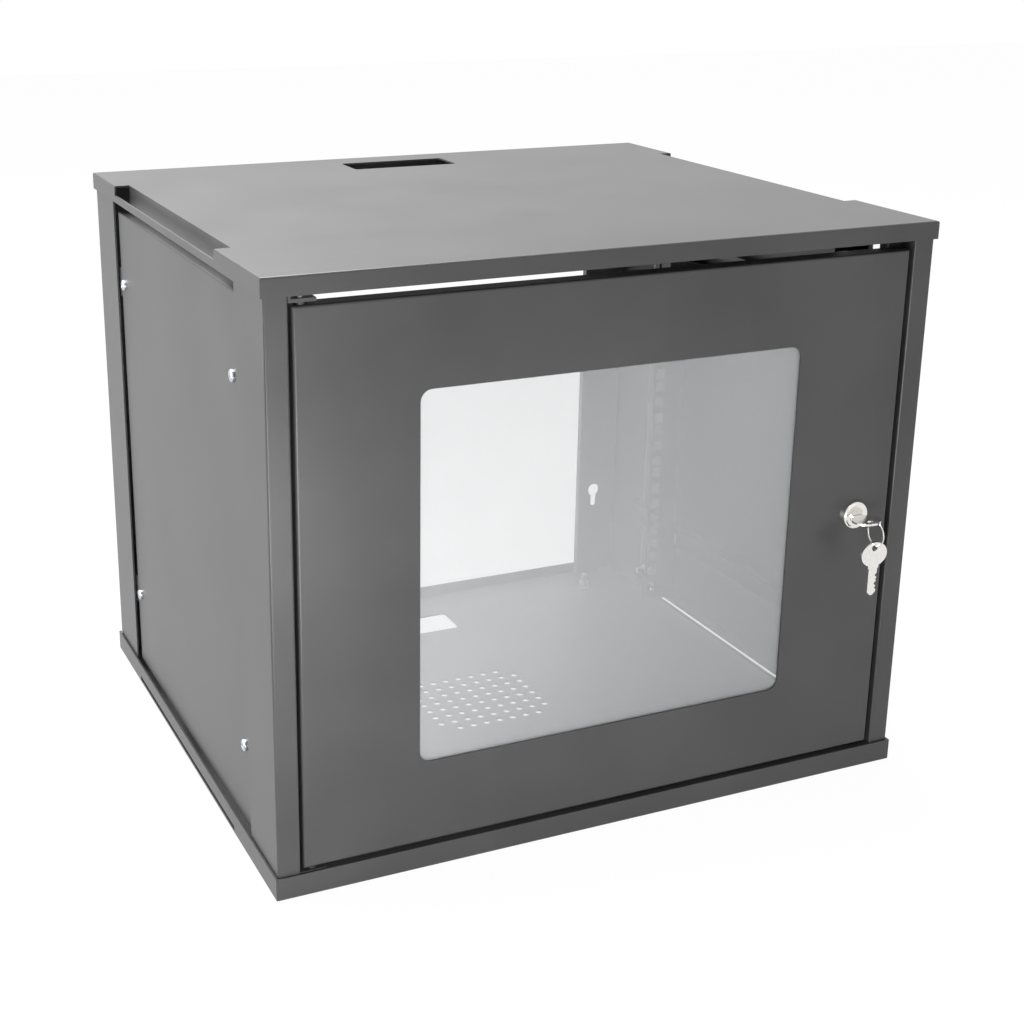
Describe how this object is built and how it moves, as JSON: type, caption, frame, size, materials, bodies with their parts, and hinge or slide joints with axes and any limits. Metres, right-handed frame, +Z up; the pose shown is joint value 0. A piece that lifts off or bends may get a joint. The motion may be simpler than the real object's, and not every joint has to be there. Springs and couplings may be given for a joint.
{
  "type": "wall mount network cabinet",
  "caption": "Wall mount network cabinet of folded steel with a windowed hinged door, cam lock with keys, rack rails, slotted trays and an open back.",
  "frame": {"origin": "middle of the base tray's underside", "axes": "+X to the right seen from the door, +Y towards the wall, +Z up"},
  "size_m": [0.55, 0.5179, 0.465],
  "materials": {
    "base_tray": "satin powder coat on sheet steel",
    "top_tray": "satin powder coat on sheet steel",
    "hinge_post": "satin powder coat on sheet steel",
    "lock_post": "satin powder coat on sheet steel",
    "rear_post_left": "satin powder coat on sheet steel",
    "rear_post_right": "satin powder coat on sheet steel",
    "side_panel_left": "satin powder coat on sheet steel",
    "side_panel_right": "satin powder coat on sheet steel",
    "side_bar_lower_left": "satin powder coat on sheet steel",
    "side_bar_upper_left": "satin powder coat on sheet steel",
    "side_bar_lower_right": "satin powder coat on sheet steel",
    "side_bar_upper_right": "satin powder coat on sheet steel",
    "rack_rail_front_left": "satin powder coat on sheet steel",
    "rack_rail_rear_left": "satin powder coat on sheet steel",
    "rack_rail_front_right": "satin powder coat on sheet steel",
    "rack_rail_rear_right": "satin powder coat on sheet steel",
    "panel_screws_left": "bright zinc plated steel",
    "panel_screws_right": "bright zinc plated steel",
    "rail_bolts": "bright zinc plated steel",
    "rail_nuts": "bright zinc plated steel",
    "hinge_bracket_top": "satin powder coat on sheet steel",
    "hinge_bracket_bottom": "satin powder coat on sheet steel",
    "hinge_pin_bottom": "bright zinc plated steel",
    "earth_studs": "bright zinc plated steel",
    "door_buffers": "moulded rubber",
    "door_shell": "satin powder coat on sheet steel",
    "window_pane": "clear acrylic sheet, smooth",
    "pane_studs": "bright zinc plated steel",
    "pane_nuts": "bright zinc plated steel",
    "hinge_pin_top": "bright zinc plated steel",
    "hinge_washer_top": "black moulded nylon",
    "hinge_washer_bottom": "black moulded nylon",
    "lock_housing": "bright nickel plated zinc casting",
    "lock_nut": "bright zinc plated steel",
    "lock_plug": "bright nickel plated zinc casting",
    "lock_cam": "bright zinc plated steel",
    "cam_screw": "bright zinc plated steel",
    "key_in_lock": "bright nickel plate",
    "key_ring": "bright nickel plate",
    "spare_key": "bright nickel plate"
  },
  "bodies": {
    "cabinet": {"base_tray": "base_tray", "top_tray": "top_tray", "hinge_post": "hinge_post", "lock_post": "lock_post", "rear_post_left": "rear_post_left", "rear_post_right": "rear_post_right", "side_panel_left": "side_panel_left", "side_panel_right": "side_panel_right", "side_bar_lower_left": "side_bar_lower_left", "side_bar_upper_left": "side_bar_upper_left", "side_bar_lower_right": "side_bar_lower_right", "side_bar_upper_right": "side_bar_upper_right", "rack_rail_front_left": "rack_rail_front_left", "rack_rail_rear_left": "rack_rail_rear_left", "rack_rail_front_right": "rack_rail_front_right", "rack_rail_rear_right": "rack_rail_rear_right", "panel_screws_left": "panel_screws_left", "panel_screws_right": "panel_screws_right", "rail_bolts": "rail_bolts", "rail_nuts": "rail_nuts", "hinge_bracket_top": "hinge_bracket_top", "hinge_bracket_bottom": "hinge_bracket_bottom", "hinge_pin_bottom": "hinge_pin_bottom", "earth_studs": "earth_studs", "door_buffers": "door_buffers"},
    "door": {"door_shell": "door_shell", "window_pane": "window_pane", "pane_studs": "pane_studs", "pane_nuts": "pane_nuts", "hinge_pin_top": "hinge_pin_top", "hinge_washer_top": "hinge_washer_top", "hinge_washer_bottom": "hinge_washer_bottom", "lock_housing": "lock_housing", "lock_nut": "lock_nut"},
    "lock": {"lock_plug": "lock_plug", "lock_cam": "lock_cam", "cam_screw": "cam_screw"},
    "key": {"key_in_lock": "key_in_lock"},
    "ring": {"key_ring": "key_ring"},
    "second_key": {"spare_key": "spare_key"}
  },
  "joints": [
    {"name": "door_hinge", "type": "hinge", "parent": "cabinet", "child": "door", "pos_m": [-0.2453, -0.2315, 0.2325], "axis": [0, 0, -1], "range_deg": [0, 105]},
    {"name": "lock_turn", "type": "hinge", "parent": "door", "child": "lock", "pos_m": [0.218, -0.238, 0.2313], "axis": [0, -1, 0], "range_deg": [0, 90]},
    {"name": "key_pull", "type": "slide", "parent": "lock", "child": "key", "axis": [0, -1, 0], "range_m": [0, 0.025]},
    {"name": "ring_swing", "type": "hinge", "parent": "key", "child": "ring", "pos_m": [0.218, -0.26055, 0.2313], "axis": [-0.5774, 0.5774, -0.5774], "range_deg": [0, 120]},
    {"name": "spare_key_swing", "type": "hinge", "parent": "ring", "child": "second_key", "pos_m": [0.218, -0.26741, 0.21474], "axis": [0, 1, 0], "range_deg": [-40, 28]}
  ],
  "couplings": [
    {"joint": "ring_swing", "follows": "lock_turn", "ratio": 1.3333}
  ]
}
